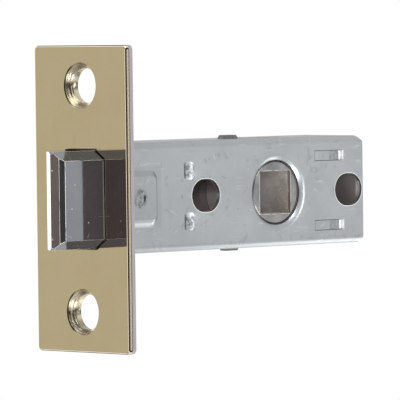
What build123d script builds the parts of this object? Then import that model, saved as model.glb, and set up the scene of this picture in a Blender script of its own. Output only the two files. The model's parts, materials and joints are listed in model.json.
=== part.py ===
from build123d import *
import math
import os

# Tubular door latch. Millimetres. The origin is the centre of the face plate's front face.
# +Y runs into the door, +X is the side of the case with the folded web, +Z is up.

# Face plates
FOREND_W = 25.0
FOREND_H = 57.0
FOREND_CORNER_R = 1.0
FOREND_EDGE_R = 0.3
OUTER_T = 0.9
INNER_T = 0.9
SCREW_EDGE = 7.5
SCREW_HOLE_R = 3.3
COUNTERSINK_W = 1.05
COUNTERSINK_DEPTH = 1.4
COLLAR_BACK = 0.8
COLLAR_WALL = 0.7
COLLAR_HOLE_GAP = 0.1

# Latch bolt
BOLT_W = 12.6
BOLT_H = 18.1
BOLT_CHAMFER_X = 2.3
BOLT_CHAMFER_Z = 1.7
BOLT_THROW = 11.07
BOLT_REAR = 6.8
TIP_X = 3.75
TIP_FACET_X = 1.85
TIP_FACET_Y = 0.5
TIP_CHAMFER_Y = 0.87
TIP_END_CHAMFER = 0.5
BEVEL_END = 0.1
BEVEL_BULGE = 1.35
OPENING_GAP = 0.2
OPENING_EDGE_W = 0.18
OPENING_EDGE_DEPTH = 0.1

# Case, folded round the bolt
SHEET = 0.9
BOLT_SIDE_GAP = 0.2
BOLT_TOP_GAP = 0.35
FOLD_R = 1.5
FOLD_INNER_R = 0.6
END_WEB = 0.35
END_CHAMFER = 1.1
END_ROUND = 0.6
COVER_GAP = 0.05

# Handle and bolt-through positions along the case
BACKSET = 44.0
THROUGH_CENTRES = 38.0
SLOT_LENGTH = 7.3
SLOT_R = 3.1

# Tail, pins, spring and stop
TAIL_T = 1.6
TAIL_SLOT_GAP = 0.1
WEB_FRONT = 0.5
WEB_L = 2.0
PIN_R = 1.2
PIN_Y = 4.5
PIN_EDGE = 0.15
PIN_INSET = 0.1
SHOE_GAP = 0.5
SHOE_INSET = 0.2
LEG_INSET = 0.15
LEG_H = 1.5
SPRING_R = 3.25
WIRE = 0.7
SPRING_TURNS = 4.5
SPRING_BORE_GAP = 0.35
STOP_T = 1.2
STOP_LEAD = 5.6
STOP_GAP = 0.1
STOP_BOSS_GAP = 0.25
STOP_BOSS_L = 2.0
STOP_NOTCH_GAP = 0.3
STOP_CORNER = 0.8

# Follower
SPINDLE = 8.0
SPINDLE_GAP = 0.1
HUB_WALL = 0.3
JOURNAL_GAP = 0.12
FACE_RECESS = 0.8
FACE_CHAMFER = 0.27
COLLAR_STEP = 0.4
COLLAR_GAP = 0.3
CAM_HALF_T = 1.8
ARM_TIP_R = 0.6
ARM_TOP_GAP = 0.15
ARM_ANGLE = 40.0
ARM_ROOT_W = 1.9
LUG_GAP = 0.3
LUG_CAM_GAP = 0.3
LUG_L = 2.3
DISH_W = 0.6
DISH_RIM_W = 0.6
DISH_RIM_DEPTH = 0.15
DISH_DEPTH = 0.65
DISH_WALL = 0.5

# Humps of the tail and their slots in the case's top and bottom
HUMP_AHEAD = 2.5
HUMP_BEHIND = 1.6
POCKET_AHEAD = 1.8
HUMP_RISE = 0.7
HUMP_SLOPE = 0.6
HUMP_UNDER = 0.25
SLOT_SIDE_GAP = 0.3
SLOT_END_GAP = 0.6

# Pads over the inner plate's lugs
PAD_RISE = 0.8
PAD_HALF = 4.05
PAD_L = 9.7
PAD_SLOPE_Z = 1.05
PAD_SLOPE_Y = 0.9
PAD_CORNER_R = 0.9
LUG_SIDE_GAP = 0.15
STAKE_R = 1.4
STAKE_DEPTH = 0.2
STAKE_LEAD = 4.2

# Tongues pressed in from the case sides
TONGUE_SLIT = 0.1
FRONT_TONGUE_L = 3.0
FRONT_TONGUE_H = 3.4
FRONT_TONGUE_Z = 4.75
FRONT_TONGUE_IN = 1.2
FRONT_TONGUE_BEND = 1.3
FRONT_TONGUE_DIP = 0.35
FRONT_TONGUE_CORNER = 0.8
REAR_TONGUE_LEAD = 9.1
REAR_TONGUE_FLAT = 3.95
REAR_TONGUE_L = 7.7
REAR_TONGUE_H = 2.0
REAR_TONGUE_Z = 6.65
REAR_TONGUE_IN = 0.5

# Cover tabs, end flap and ears
TAB_W = 6.0
TAB_FRONT_LEAD = 9.0
TAB_REAR_LEAD = 7.0
TAB_GAP = 0.05
FLAP_SIDE_GAP = 0.15
FLAP_TOP_GAP = 0.5
EAR_GAP = 0.15
EAR_H = 1.6

# Face plates and bolt
plates_t = OUTER_T + INNER_T
collar_end = plates_t + COLLAR_BACK
screw_collar_r = SCREW_HOLE_R + COLLAR_WALL
countersink_r = SCREW_HOLE_R + COUNTERSINK_W
screw_z = FOREND_H / 2 - SCREW_EDGE
bolt_x = BOLT_W / 2
bolt_z = BOLT_H / 2
open_x = bolt_x + OPENING_GAP
open_z = bolt_z + OPENING_GAP

# Case walls
inner_x = bolt_x + BOLT_SIDE_GAP
inner_z = bolt_z + BOLT_TOP_GAP
half_w = inner_x + SHEET
half_h = inner_z + SHEET
slot_front_y = BACKSET - THROUGH_CENTRES / 2
slot_rear_y = BACKSET + THROUGH_CENTRES / 2
case_end = slot_rear_y + SLOT_LENGTH / 2 + END_WEB

# Follower and its arms
spindle_w = SPINDLE + SPINDLE_GAP
journal_r = spindle_w * math.sqrt(2) / 2 + HUB_WALL
hole_r = journal_r + JOURNAL_GAP
collar_r = journal_r + COLLAR_STEP
follower_x = half_w - FACE_RECESS
collar_x = inner_x - DISH_DEPTH - COLLAR_GAP
swing = math.radians(ARM_ANGLE)
arm_reach = inner_z - ARM_TIP_R - ARM_TOP_GAP
travel = 2 * arm_reach * math.sin(swing)
arm_tip_y = BACKSET - arm_reach * math.sin(swing)
arm_tip_z = arm_reach * math.cos(swing)

# Tail, pins, spring and stop
tail_x = TAIL_T / 2
web_rear = WEB_FRONT + WEB_L
shoe_end = BOLT_REAR - SHOE_INSET
shoe_z = SPRING_R + SPRING_BORE_GAP + SHOE_GAP
pin_z = bolt_z - BOLT_CHAMFER_Z - PIN_R - PIN_EDGE
leg_outer = bolt_z - LEG_INSET
leg_inner = leg_outer - LEG_H
lug_face_y = arm_tip_y + ARM_TIP_R + LUG_GAP
lug_z = journal_r + LUG_CAM_GAP
hump_front = arm_tip_y - HUMP_AHEAD
hump_rear = arm_tip_y + HUMP_BEHIND
pocket_front = arm_tip_y - POCKET_AHEAD
hump_top = half_h + HUMP_RISE
hump_under = arm_reach + ARM_TIP_R + HUMP_UNDER
slot_start = hump_front - SLOT_END_GAP
slot_end = hump_rear + travel + SLOT_END_GAP
stop_rear = slot_front_y - STOP_LEAD
stop_front = stop_rear - STOP_T

# Pads and tongues
pad_end = plates_t + PAD_L
pad_foot_z = PAD_HALF + PAD_SLOPE_Z
pad_foot_end = pad_end + PAD_SLOPE_Y
stake_y = pad_end - STAKE_LEAD
front_tongue_mid = stop_rear + FRONT_TONGUE_L / 2
front_tongue_root = stop_rear + FRONT_TONGUE_L
front_tongue_bend = front_tongue_root - FRONT_TONGUE_BEND
rear_tongue_front = slot_rear_y - REAR_TONGUE_LEAD
rear_tongue_bend = rear_tongue_front + REAR_TONGUE_FLAT
rear_tongue_end = rear_tongue_front + REAR_TONGUE_L


def eight_sides(half_x, half_z, cut_x, cut_z):
    """Corners of a rectangle with its four corners cut off."""
    return [
        (half_x, half_z - cut_z),
        (half_x - cut_x, half_z),
        (-half_x + cut_x, half_z),
        (-half_x, half_z - cut_z),
        (-half_x, -half_z + cut_z),
        (-half_x + cut_x, -half_z),
        (half_x - cut_x, -half_z),
        (half_x, -half_z + cut_z),
    ]


def square_to_case(y):
    """Plane across the case at depth y, seen from the front: X to the right, Z up."""
    return Plane.XZ.offset(-y)


# Outer face plate
with BuildPart() as outer_forend:
    with BuildSketch(Plane.XZ):
        RectangleRounded(FOREND_W, FOREND_H, FOREND_CORNER_R)
    extrude(amount=-OUTER_T)
    fillet(outer_forend.faces().sort_by(Axis.Y)[0].edges(), FOREND_EDGE_R)
    with BuildSketch(Plane.XZ):
        Polygon(*eight_sides(open_x, open_z, BOLT_CHAMFER_X, BOLT_CHAMFER_Z), align=None)
    extrude(amount=-OUTER_T, mode=Mode.SUBTRACT)
    front_face = outer_forend.faces().filter_by(Axis.Y).sort_by(Axis.Y)[0]
    chamfer(front_face.inner_wires()[0].edges(), OPENING_EDGE_W, OPENING_EDGE_DEPTH, reference=front_face)
    with BuildSketch(square_to_case(OUTER_T)):
        with Locations((0, screw_z), (0, -screw_z)):
            Circle(screw_collar_r)
    extrude(amount=-(collar_end - OUTER_T))
    for hole_z in (-screw_z, screw_z):
        with BuildSketch(Plane.YZ):
            Polygon(
                (0, hole_z),
                (0, hole_z + countersink_r),
                (COUNTERSINK_DEPTH, hole_z + SCREW_HOLE_R),
                (collar_end, hole_z + SCREW_HOLE_R),
                (collar_end, hole_z),
                align=None,
            )
        revolve(axis=Axis((0, 0, hole_z), (0, 1, 0)), mode=Mode.SUBTRACT)
outer_forend.part.label = "outer_forend"

# Inner face plate with its two lugs
with BuildPart() as inner_forend:
    with BuildSketch(square_to_case(OUTER_T)):
        RectangleRounded(FOREND_W, FOREND_H, FOREND_CORNER_R)
        Polygon(
            *eight_sides(inner_x, open_z, BOLT_CHAMFER_X, BOLT_CHAMFER_Z),
            align=None,
            mode=Mode.SUBTRACT,
        )
        with Locations((0, screw_z), (0, -screw_z)):
            Circle(screw_collar_r + COLLAR_HOLE_GAP, mode=Mode.SUBTRACT)
    extrude(amount=-INNER_T)
    with BuildSketch(square_to_case(plates_t)):
        with Locations((inner_x + PAD_RISE / 2, 0), (-inner_x - PAD_RISE / 2, 0)):
            Rectangle(PAD_RISE, 2 * (PAD_HALF - LUG_SIDE_GAP))
    extrude(amount=-(PAD_L - LUG_SIDE_GAP))
    lug_ends = inner_forend.faces().sort_by(Axis.Y)[-2:].edges().filter_by(Axis.X)
    fillet(lug_ends, PAD_RISE)
inner_forend.part.label = "inner_forend"

# Pressings of one case side: the pad over the plate's lug and the back of the dish round the hub
with BuildPart() as side_pressings:
    with BuildSketch(Plane.YZ.offset(half_w)) as pad_foot:
        with Locations(((plates_t + pad_foot_end) / 2, 0)):
            Rectangle(pad_foot_end - plates_t, 2 * pad_foot_z)
        fillet(pad_foot.vertices().group_by(Axis.X)[-1], PAD_CORNER_R + PAD_SLOPE_Y)
    with BuildSketch(Plane.YZ.offset(half_w + PAD_RISE)) as pad_top:
        with Locations(((plates_t + pad_end) / 2, 0)):
            Rectangle(PAD_L, 2 * PAD_HALF)
        fillet(pad_top.vertices().group_by(Axis.X)[-1], PAD_CORNER_R)
    loft()
    with BuildSketch(Plane.XY):
        Polygon(
            (inner_x, BACKSET),
            (inner_x, BACKSET + hole_r + DISH_W + DISH_WALL),
            (inner_x - DISH_DEPTH, BACKSET + hole_r + DISH_WALL),
            (inner_x - DISH_DEPTH, BACKSET),
            align=None,
        )
    revolve(axis=Axis((0, BACKSET, 0), (1, 0, 0)))

# Everything cut out of one case side
with BuildPart() as side_cuts:
    with BuildSketch(Plane.YZ.offset(inner_x)) as hollow_foot:
        with Locations(((plates_t + pad_foot_end) / 2, 0)):
            Rectangle(pad_foot_end - plates_t, 2 * pad_foot_z)
        fillet(hollow_foot.vertices().group_by(Axis.X)[-1], PAD_CORNER_R + PAD_SLOPE_Y)
    with BuildSketch(Plane.YZ.offset(inner_x + PAD_RISE)) as hollow_top:
        with Locations(((plates_t + pad_end) / 2, 0)):
            Rectangle(PAD_L, 2 * PAD_HALF)
        fillet(hollow_top.vertices().group_by(Axis.X)[-1], PAD_CORNER_R)
    loft()
    with BuildSketch(Plane.YZ.offset(half_w + PAD_RISE - STAKE_DEPTH)):
        with Locations((stake_y, 0)):
            Circle(STAKE_R)
    extrude(amount=STAKE_DEPTH)
    with BuildSketch(Plane.XY):
        Polygon(
            (half_w, BACKSET),
            (half_w, BACKSET + hole_r + DISH_W + DISH_RIM_W),
            (half_w - DISH_RIM_DEPTH, BACKSET + hole_r + DISH_W),
            (half_w - DISH_DEPTH, BACKSET + hole_r),
            (inner_x - 2 * DISH_DEPTH, BACKSET + hole_r),
            (inner_x - 2 * DISH_DEPTH, BACKSET),
            align=None,
        )
    revolve(axis=Axis((0, BACKSET, 0), (1, 0, 0)))
    with BuildSketch(Plane.YZ.offset(inner_x)):
        with Locations((slot_front_y, 0), (slot_rear_y, 0)):
            SlotOverall(SLOT_LENGTH, 2 * SLOT_R)
        rear_tongue_mid = rear_tongue_front + REAR_TONGUE_L / 2
        with Locations((rear_tongue_mid, REAR_TONGUE_Z), (rear_tongue_mid, -REAR_TONGUE_Z)):
            Rectangle(REAR_TONGUE_L, REAR_TONGUE_H)
    extrude(amount=SHEET)
    with BuildSketch(Plane.YZ.offset(inner_x)) as lance_holes:
        with Locations((front_tongue_mid, FRONT_TONGUE_Z), (front_tongue_mid, -FRONT_TONGUE_Z)):
            Rectangle(FRONT_TONGUE_L, FRONT_TONGUE_H)
        chamfer(lance_holes.vertices(), FRONT_TONGUE_CORNER)
    extrude(amount=SHEET)

# Front tongues of one case side: two eight-sided lances, sheared at the front and bent at the root
with BuildPart() as front_tongues:
    with BuildSketch(Plane.YZ.offset(inner_x - FRONT_TONGUE_IN)) as lance_outline:
        with Locations((front_tongue_mid, FRONT_TONGUE_Z), (front_tongue_mid, -FRONT_TONGUE_Z)):
            Rectangle(FRONT_TONGUE_L, FRONT_TONGUE_H)
        chamfer(lance_outline.vertices(), FRONT_TONGUE_CORNER)
    extrude(amount=FRONT_TONGUE_IN + SHEET)
    with BuildSketch(Plane.XY):
        Polygon(
            (half_w, front_tongue_root),
            (half_w - FRONT_TONGUE_DIP, front_tongue_bend),
            (half_w - FRONT_TONGUE_IN, stop_rear),
            (inner_x - FRONT_TONGUE_IN, stop_rear),
            (inner_x - FRONT_TONGUE_DIP, front_tongue_bend),
            (inner_x, front_tongue_root),
            align=None,
        )
    extrude(amount=half_h, both=True, mode=Mode.INTERSECT)

# Rear tongues of one case side
with BuildPart() as rear_tongues:
    for side in (-1, 1):
        with BuildSketch(Plane.XY.offset(side * REAR_TONGUE_Z)):
            Polygon(
                (half_w, rear_tongue_front),
                (half_w, rear_tongue_bend),
                (half_w - REAR_TONGUE_IN, rear_tongue_end - TONGUE_SLIT),
                (inner_x - REAR_TONGUE_IN, rear_tongue_end - TONGUE_SLIT),
                (inner_x, rear_tongue_bend),
                (inner_x, rear_tongue_front),
                align=None,
            )
        extrude(amount=REAR_TONGUE_H / 2 - TONGUE_SLIT, both=True)

# Corners taken off the back end of the case, in side view
with BuildPart() as end_cuts:
    with BuildSketch(Plane.YZ):
        Polygon(
            (case_end - END_CHAMFER, half_h),
            (case_end, half_h),
            (case_end, half_h - END_CHAMFER),
            align=None,
        )
    extrude(amount=2 * half_w, both=True)
    with BuildSketch(Plane.YZ):
        with Locations((case_end - END_ROUND / 2, -half_h + END_ROUND / 2)):
            Rectangle(END_ROUND, END_ROUND)
        with Locations((case_end - END_ROUND, -half_h + END_ROUND)):
            Circle(END_ROUND, mode=Mode.SUBTRACT)
    extrude(amount=2 * half_w, both=True)

# Case: web, top wall and bottom wall folded from one sheet
with BuildPart() as case_channel:
    with BuildSketch(square_to_case(plates_t)) as channel_section:
        Rectangle(2 * half_w, 2 * half_h)
        fillet(channel_section.vertices().group_by(Axis.X)[-1], FOLD_R)
        with BuildSketch(mode=Mode.PRIVATE) as channel_inside:
            with Locations((-SHEET / 2, 0)):
                Rectangle(2 * half_w - SHEET, 2 * inner_z)
            fillet(channel_inside.vertices().group_by(Axis.X)[-1], FOLD_INNER_R)
        add(channel_inside.sketch, mode=Mode.SUBTRACT)
    extrude(amount=-(case_end - plates_t))
    add(side_pressings.part)
    add(side_cuts.part, mode=Mode.SUBTRACT)
    add(front_tongues.part)
    add(rear_tongues.part)
    with BuildSketch(Plane.XY):
        with Locations((0, (slot_start + slot_end) / 2)):
            SlotOverall(slot_end - slot_start, 2 * (tail_x + SLOT_SIDE_GAP), rotation=90)
        for tab_y in (slot_front_y - TAB_FRONT_LEAD, slot_rear_y - TAB_REAR_LEAD):
            with Locations((-half_w + SHEET / 2, tab_y)):
                Rectangle(SHEET, TAB_W + 2 * TAB_GAP)
    extrude(amount=2 * half_h, both=True, mode=Mode.SUBTRACT)
    add(end_cuts.part, mode=Mode.SUBTRACT)
case_channel.part.label = "case_channel"

# Cover: the other side of the case, with edge tabs, an end flap and two ears
with BuildPart() as case_cover:
    cover_z = inner_z - COVER_GAP
    with BuildSketch(Plane.YZ.offset(inner_x)):
        Polygon(
            (plates_t, cover_z),
            (case_end, cover_z),
            (case_end, -cover_z),
            (plates_t, -cover_z),
            align=None,
        )
        for tab_y in (slot_front_y - TAB_FRONT_LEAD, slot_rear_y - TAB_REAR_LEAD):
            with Locations((tab_y, 0)):
                Rectangle(TAB_W, 2 * half_h)
    extrude(amount=SHEET)
    add(side_pressings.part)
    add(side_cuts.part, mode=Mode.SUBTRACT)
    add(front_tongues.part)
    add(rear_tongues.part)
    mirror(about=Plane.YZ, mode=Mode.REPLACE)
    flap_x = inner_x - FLAP_SIDE_GAP
    with BuildSketch(square_to_case(case_end - SHEET)):
        with Locations(((flap_x - half_w) / 2, 0)):
            Rectangle(flap_x + half_w, 2 * (inner_z - FLAP_TOP_GAP))
    extrude(amount=-SHEET)
    ear_start = rear_tongue_end + EAR_GAP
    with BuildSketch(square_to_case(ear_start)):
        with Locations((flap_x - SHEET / 2, REAR_TONGUE_Z), (flap_x - SHEET / 2, -REAR_TONGUE_Z)):
            Rectangle(SHEET, EAR_H)
    extrude(amount=-(case_end - SHEET - ear_start))
    add(end_cuts.part, mode=Mode.SUBTRACT)
case_cover.part.label = "case_cover"

# Latch bolt: eight-sided bar with a curved bevel on the closing side
with BuildPart() as latch_bolt:
    with BuildSketch(square_to_case(-BOLT_THROW)):
        Polygon(*eight_sides(bolt_x, bolt_z, BOLT_CHAMFER_X, BOLT_CHAMFER_Z), align=None)
    extrude(amount=-(BOLT_THROW + BOLT_REAR))
    with BuildSketch(Plane.XY):
        with BuildLine():
            SagittaArc((TIP_X, -BOLT_THROW), (-bolt_x, BEVEL_END), BEVEL_BULGE)
            Polyline(
                (-bolt_x, BEVEL_END),
                (-bolt_x - 1, BEVEL_END),
                (-bolt_x - 1, -BOLT_THROW - 1),
                (TIP_X, -BOLT_THROW - 1),
                (TIP_X, -BOLT_THROW),
            )
        make_face()
        Polygon(
            (TIP_X, -BOLT_THROW),
            (TIP_X + TIP_FACET_X, -BOLT_THROW + TIP_FACET_Y),
            (bolt_x, -BOLT_THROW + TIP_FACET_Y + TIP_CHAMFER_Y),
            (bolt_x + 1, -BOLT_THROW + TIP_FACET_Y + TIP_CHAMFER_Y),
            (bolt_x + 1, -BOLT_THROW - 1),
            (TIP_X, -BOLT_THROW - 1),
            align=None,
        )
        slot_half = tail_x + TAIL_SLOT_GAP
        Polygon(
            (-slot_half, WEB_FRONT),
            (slot_half, WEB_FRONT),
            (slot_half, BOLT_REAR),
            (-slot_half, BOLT_REAR),
            align=None,
        )
    extrude(amount=BOLT_H, both=True, mode=Mode.SUBTRACT)
    with BuildSketch(Plane.YZ):
        for side in (-1, 1):
            Polygon(
                (-BOLT_THROW, side * (bolt_z - TIP_END_CHAMFER)),
                (-BOLT_THROW + TIP_END_CHAMFER, side * bolt_z),
                (-BOLT_THROW, side * bolt_z),
                align=None,
            )
        with Locations((PIN_Y, pin_z), (PIN_Y, -pin_z)):
            Circle(PIN_R)
    extrude(amount=BOLT_W, both=True, mode=Mode.SUBTRACT)
    with BuildSketch(square_to_case(web_rear)):
        Circle(SPRING_R + SPRING_BORE_GAP)
    extrude(amount=-(BOLT_REAR - web_rear), mode=Mode.SUBTRACT)
latch_bolt.part.label = "latch_bolt"

# Tail: flat stamping, one web at the bolt, two legs, two humps and two lugs behind the cam arms
with BuildPart() as bolt_tail:
    with BuildSketch(Plane.YZ):
        for side in (-1, 1):
            Polygon(
                (WEB_FRONT, 0),
                (WEB_FRONT, side * leg_outer),
                (hump_front, side * leg_outer),
                (hump_front, side * half_h),
                (hump_front + HUMP_SLOPE, side * hump_top),
                (hump_rear - HUMP_SLOPE, side * hump_top),
                (hump_rear, side * half_h),
                (hump_rear, side * leg_outer),
                (lug_face_y + LUG_L, side * leg_outer),
                (lug_face_y + LUG_L, side * lug_z),
                (lug_face_y, side * lug_z),
                (lug_face_y, side * hump_under),
                (pocket_front, side * hump_under),
                (pocket_front, side * leg_inner),
                (shoe_end, side * leg_inner),
                (shoe_end, side * shoe_z),
                (web_rear, side * shoe_z),
                (web_rear, 0),
                align=None,
            )
        with Locations((PIN_Y, pin_z), (PIN_Y, -pin_z)):
            Circle(PIN_R, mode=Mode.SUBTRACT)
    extrude(amount=tail_x, both=True)
bolt_tail.part.label = "bolt_tail"

# Pins through the bolt and the tail
with BuildPart() as tail_pin_upper:
    with BuildSketch(Plane.YZ):
        with Locations((PIN_Y, pin_z)):
            Circle(PIN_R)
    extrude(amount=bolt_x - PIN_INSET, both=True)
tail_pin_upper.part.label = "tail_pin_upper"

with BuildPart() as tail_pin_lower:
    with BuildSketch(Plane.YZ):
        with Locations((PIN_Y, -pin_z)):
            Circle(PIN_R)
    extrude(amount=bolt_x - PIN_INSET, both=True)
tail_pin_lower.part.label = "tail_pin_lower"

# Spring between the tail's web and the stop plate
spring_l = stop_front - web_rear - WIRE
with BuildPart() as bolt_spring:
    with BuildLine():
        coil = Helix(
            pitch=spring_l / SPRING_TURNS,
            height=spring_l,
            radius=SPRING_R - WIRE / 2,
            center=(0, web_rear + WIRE / 2, 0),
            direction=(0, 1, 0),
        )
    with BuildSketch(Plane(origin=coil @ 0, z_dir=coil % 0)):
        RegularPolygon(WIRE / 2, 4)
    sweep(is_frenet=True)
bolt_spring.part.label = "bolt_spring"

# Stop plate across the case, with a boss that holds the spring
with BuildPart() as spring_stop:
    with BuildSketch(square_to_case(stop_front)) as stop_outline:
        Rectangle(2 * (inner_x - STOP_GAP), 2 * (inner_z - STOP_GAP))
        chamfer(stop_outline.vertices(), STOP_CORNER)
        notch_z = leg_inner - STOP_NOTCH_GAP
        with Locations((0, (notch_z + inner_z) / 2), (0, -(notch_z + inner_z) / 2)):
            Rectangle(2 * (tail_x + STOP_NOTCH_GAP), inner_z - notch_z, mode=Mode.SUBTRACT)
    extrude(amount=-STOP_T)
    with BuildSketch(square_to_case(stop_front)):
        Circle(SPRING_R - WIRE - STOP_BOSS_GAP)
    extrude(amount=STOP_BOSS_L)
spring_stop.part.label = "spring_stop"

# Follower: hub with the spindle hole, two collars and a cam with two arms
with BuildPart() as follower:
    with BuildSketch(Plane.YZ):
        with Locations((BACKSET, 0)):
            Circle(journal_r)
    extrude(amount=follower_x, both=True)
    rims = follower.faces().filter_by(Axis.X).edges()
    chamfer(rims, FACE_CHAMFER)
    with BuildSketch(Plane.YZ):
        with Locations((BACKSET, 0)):
            Circle(collar_r)
    extrude(amount=collar_x, both=True)
    with BuildSketch(Plane.YZ):
        with Locations((BACKSET, 0)):
            Circle(2 * arm_reach)
            Circle(journal_r, mode=Mode.SUBTRACT)
    extrude(amount=CAM_HALF_T, both=True, mode=Mode.SUBTRACT)
    forward_y = -math.sin(swing)
    upward_z = math.cos(swing)
    for side in (-1, 1):
        with BuildSketch(Plane.YZ):
            Polygon(
                (BACKSET, 0),
                (arm_tip_y, side * arm_tip_z),
                (arm_tip_y - ARM_TIP_R * upward_z, side * (arm_tip_z + ARM_TIP_R * forward_y)),
                (
                    BACKSET + journal_r * forward_y - ARM_ROOT_W * upward_z,
                    side * (journal_r * upward_z + ARM_ROOT_W * forward_y),
                ),
                align=None,
            )
            with Locations((arm_tip_y, side * arm_tip_z)):
                Circle(ARM_TIP_R)
        extrude(amount=CAM_HALF_T, both=True)
    with BuildSketch(Plane.YZ):
        with Locations((BACKSET, 0)):
            Rectangle(spindle_w, spindle_w)
    extrude(amount=2 * half_w, both=True, mode=Mode.SUBTRACT)
follower.part.label = "follower"

# One file per piece
os.makedirs("parts", exist_ok=True)
export_step(outer_forend.part, "parts/outer_forend.step")
export_step(inner_forend.part, "parts/inner_forend.step")
export_step(case_channel.part, "parts/case_channel.step")
export_step(case_cover.part, "parts/case_cover.step")
export_step(latch_bolt.part, "parts/latch_bolt.step")
export_step(bolt_tail.part, "parts/bolt_tail.step")
export_step(tail_pin_upper.part, "parts/tail_pin_upper.step")
export_step(tail_pin_lower.part, "parts/tail_pin_lower.step")
export_step(bolt_spring.part, "parts/bolt_spring.step")
export_step(spring_stop.part, "parts/spring_stop.step")
export_step(follower.part, "parts/follower.step")
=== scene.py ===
# %% [markdown]
# # A tubular door latch
# The latch hides in a hole drilled into the edge of a door. A brass face plate shows, a sprung
# bolt stands out of it, and a zinc-plated case behind it holds the follower that the handle turns.
# The exact solids come from the CAD model, so this lesson is about finishes, light and one coil spring.

# %% Load the latch's frame
import json
import math

import bpy
from mathutils import Matrix, Vector

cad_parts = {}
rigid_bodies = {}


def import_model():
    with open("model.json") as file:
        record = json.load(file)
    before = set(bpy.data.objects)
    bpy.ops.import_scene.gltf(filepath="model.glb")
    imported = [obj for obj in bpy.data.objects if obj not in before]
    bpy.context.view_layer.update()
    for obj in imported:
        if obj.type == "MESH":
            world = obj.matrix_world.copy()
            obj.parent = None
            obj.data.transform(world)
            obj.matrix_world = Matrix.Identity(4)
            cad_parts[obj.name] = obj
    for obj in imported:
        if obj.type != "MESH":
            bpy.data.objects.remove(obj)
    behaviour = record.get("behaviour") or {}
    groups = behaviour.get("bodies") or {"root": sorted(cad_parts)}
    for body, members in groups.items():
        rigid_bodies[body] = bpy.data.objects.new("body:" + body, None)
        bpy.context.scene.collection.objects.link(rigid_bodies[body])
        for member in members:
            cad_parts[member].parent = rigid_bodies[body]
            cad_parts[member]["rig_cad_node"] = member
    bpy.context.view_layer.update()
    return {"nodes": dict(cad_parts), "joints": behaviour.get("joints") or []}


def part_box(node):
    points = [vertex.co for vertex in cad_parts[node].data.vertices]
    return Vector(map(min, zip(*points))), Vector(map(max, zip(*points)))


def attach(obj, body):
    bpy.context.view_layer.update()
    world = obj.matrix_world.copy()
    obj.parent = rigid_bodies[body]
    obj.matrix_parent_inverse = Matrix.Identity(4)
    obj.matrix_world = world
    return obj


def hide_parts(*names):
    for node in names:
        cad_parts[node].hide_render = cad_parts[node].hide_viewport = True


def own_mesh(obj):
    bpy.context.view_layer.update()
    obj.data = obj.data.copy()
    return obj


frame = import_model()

MM = 0.001
nodes = frame["nodes"]
joints = {joint["name"]: joint for joint in frame["joints"]}
print("pieces from the CAD model:", ", ".join(sorted(nodes)))

# %% [markdown]
# ## The camera
# A long lens far away keeps the plate's edges almost parallel. The position was found by matching the
# plate's corners, its screw holes and the case's holes in the photograph. The frame is 400 by 400
# pixels, so the focal length in pixels becomes millimetres on a 36 mm sensor by 36 / 400.

# %% Find the camera's place
AZIMUTH = math.radians(46.173)
ELEVATION = math.radians(1.897)
ROLL = math.radians(-0.743)
DISTANCE = 1.00231
TARGET_SIDEWAYS = 22.010 * MM
TARGET_HEIGHT = -0.444 * MM

level_right = Vector((math.cos(AZIMUTH), math.sin(AZIMUTH), 0.0))
towards_camera = Vector((
    math.sin(AZIMUTH) * math.cos(ELEVATION),
    -math.cos(AZIMUTH) * math.cos(ELEVATION),
    math.sin(ELEVATION),
))
level_up = towards_camera.cross(level_right)
camera_right = level_right * math.cos(ROLL) + level_up * math.sin(ROLL)
camera_up = level_up * math.cos(ROLL) - level_right * math.sin(ROLL)
camera_place = level_right * TARGET_SIDEWAYS + Vector((0, 0, TARGET_HEIGHT)) + towards_camera * DISTANCE
print("camera at", [round(c, 3) for c in camera_place])

# %% Make the camera
FOCAL_PIXELS = 5407.7
FRAME_PIXELS = 400.0
SENSOR_MM = 36.0
NEAREST, FARTHEST = 0.01, 50.0

camera_data = bpy.data.cameras.new("photo_camera")
camera_data.sensor_width = SENSOR_MM
camera_data.lens = FOCAL_PIXELS * SENSOR_MM / FRAME_PIXELS
camera_data.clip_start = NEAREST
camera_data.clip_end = FARTHEST
camera = bpy.data.objects.new("photo_camera", camera_data)
bpy.context.scene.collection.objects.link(camera)
axes = Matrix((camera_right, camera_up, towards_camera)).transposed().to_4x4()
camera.matrix_world = Matrix.Translation(camera_place) @ axes
bpy.context.scene.camera = camera
bpy.context.scene.view_settings.view_transform = "Standard"
print("lens %.1f mm at %.3f m" % (camera_data.lens, DISTANCE))

# %% [markdown]
# ## The coil spring
# Behind the bolt a coil spring pushes it out of the plate. By hand it could be drawn as a curve with
# a bevel, but a circle carried round by the Screw modifier gives a clean mesh with closed ends.
# The coil shortens as the bolt goes in; here it keeps its rest length and hangs on the case.

# %% Turn a circle into a coil
WIRE_R = 0.35 * MM
WIRE_SIDES = 12
COIL_R = 2.9 * MM
COIL_TURNS = 4.5
COIL_STEPS = 160
spring_low, spring_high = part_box("bolt_spring")
coil_length = spring_high[1] - spring_low[1]

bpy.ops.object.select_all(action="DESELECT")
bpy.ops.mesh.primitive_circle_add(
    vertices=WIRE_SIDES, radius=WIRE_R, fill_type="NOTHING",
    location=(COIL_R, 0, 0), rotation=(math.radians(90), 0, 0),
)
spring = bpy.context.object
spring.name = "spring_coil"
bpy.ops.object.transform_apply(location=True, rotation=True, scale=True)
turn = spring.modifiers.new("coil", "SCREW")
turn.axis = "Z"
turn.angle = 2 * math.pi * COIL_TURNS
turn.screw_offset = coil_length - 2 * WIRE_R
turn.steps = COIL_STEPS
turn.render_steps = COIL_STEPS
turn.use_merge_vertices = False
bpy.ops.object.modifier_apply(modifier=turn.name)
print("coil: %d faces" % len(spring.data.polygons))

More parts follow.
